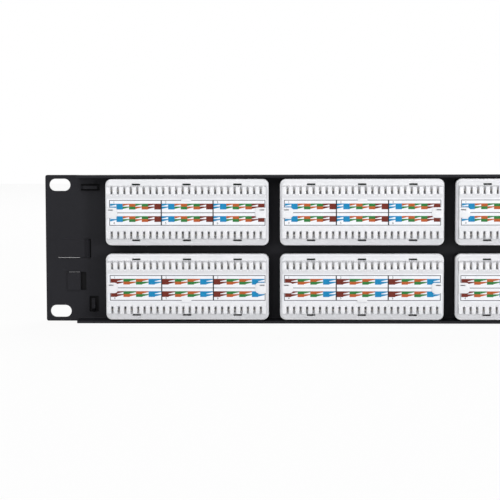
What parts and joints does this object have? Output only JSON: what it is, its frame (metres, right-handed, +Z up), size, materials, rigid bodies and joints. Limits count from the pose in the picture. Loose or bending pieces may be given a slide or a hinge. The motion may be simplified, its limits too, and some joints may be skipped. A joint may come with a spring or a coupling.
{
  "type": "patch panel",
  "caption": "Flat rack-mount panel with rows of modular jacks in front and white punch-down blocks with colour-coded labels behind.",
  "frame": {"origin": "centre of the four rack slots, on the rear face of the ears", "axes": "+X along the panel, +Y towards the rear and the punch-down blocks, +Z up"},
  "size_m": [0.4826, 0.0263, 0.0882],
  "materials": {
    "black_steel": "satin black powder coat",
    "bezel_plastic": "fine matt texture",
    "white_plastic": "semi-gloss moulded",
    "black_plastic": "moulded",
    "circuit_board": "solder mask",
    "contact_metal": "tin plated bronze",
    "spring_metal": "gold plated",
    "label_paper": "smooth coated paper",
    "blue_print": "printed ink",
    "orange_print": "printed ink",
    "green_print": "printed ink",
    "brown_print": "printed ink",
    "black_print": "printed ink"
  },
  "bodies": {
    "root": {"panel_frame": "black_steel", "front_bezel": "bezel_plastic", "port_label_strips": "label_paper", "punchdown_housing_1": "white_plastic", "punchdown_housing_2": "white_plastic", "punchdown_housing_3": "white_plastic", "punchdown_housing_4": "white_plastic", "punchdown_housing_5": "white_plastic", "punchdown_housing_6": "white_plastic", "punchdown_housing_7": "white_plastic", "punchdown_housing_8": "white_plastic", "circuit_board_1": "circuit_board", "circuit_board_2": "circuit_board", "circuit_board_3": "circuit_board", "circuit_board_4": "circuit_board", "circuit_board_5": "circuit_board", "circuit_board_6": "circuit_board", "circuit_board_7": "circuit_board", "circuit_board_8": "circuit_board", "jack_block_1": "black_plastic", "jack_block_2": "black_plastic", "jack_block_3": "black_plastic", "jack_block_4": "black_plastic", "jack_block_5": "black_plastic", "jack_block_6": "black_plastic", "jack_block_7": "black_plastic", "jack_block_8": "black_plastic", "wiring_label_1": "label_paper", "wiring_label_2": "label_paper", "wiring_label_3": "label_paper", "wiring_label_4": "label_paper", "wiring_label_5": "label_paper", "wiring_label_6": "label_paper", "wiring_label_7": "label_paper", "wiring_label_8": "label_paper", "wire_contacts_1": "contact_metal", "wire_contacts_2": "contact_metal", "wire_contacts_3": "contact_metal", "wire_contacts_4": "contact_metal", "wire_contacts_5": "contact_metal", "wire_contacts_6": "contact_metal", "wire_contacts_7": "contact_metal", "wire_contacts_8": "contact_metal", "jack_contacts_1": "spring_metal", "jack_contacts_2": "spring_metal", "jack_contacts_3": "spring_metal", "jack_contacts_4": "spring_metal", "jack_contacts_5": "spring_metal", "jack_contacts_6": "spring_metal", "jack_contacts_7": "spring_metal", "jack_contacts_8": "spring_metal", "label_print_blue": "blue_print", "label_print_orange": "orange_print", "label_print_green": "green_print", "label_print_brown": "brown_print", "label_print_lines": "black_print"}
  },
  "joints": []
}
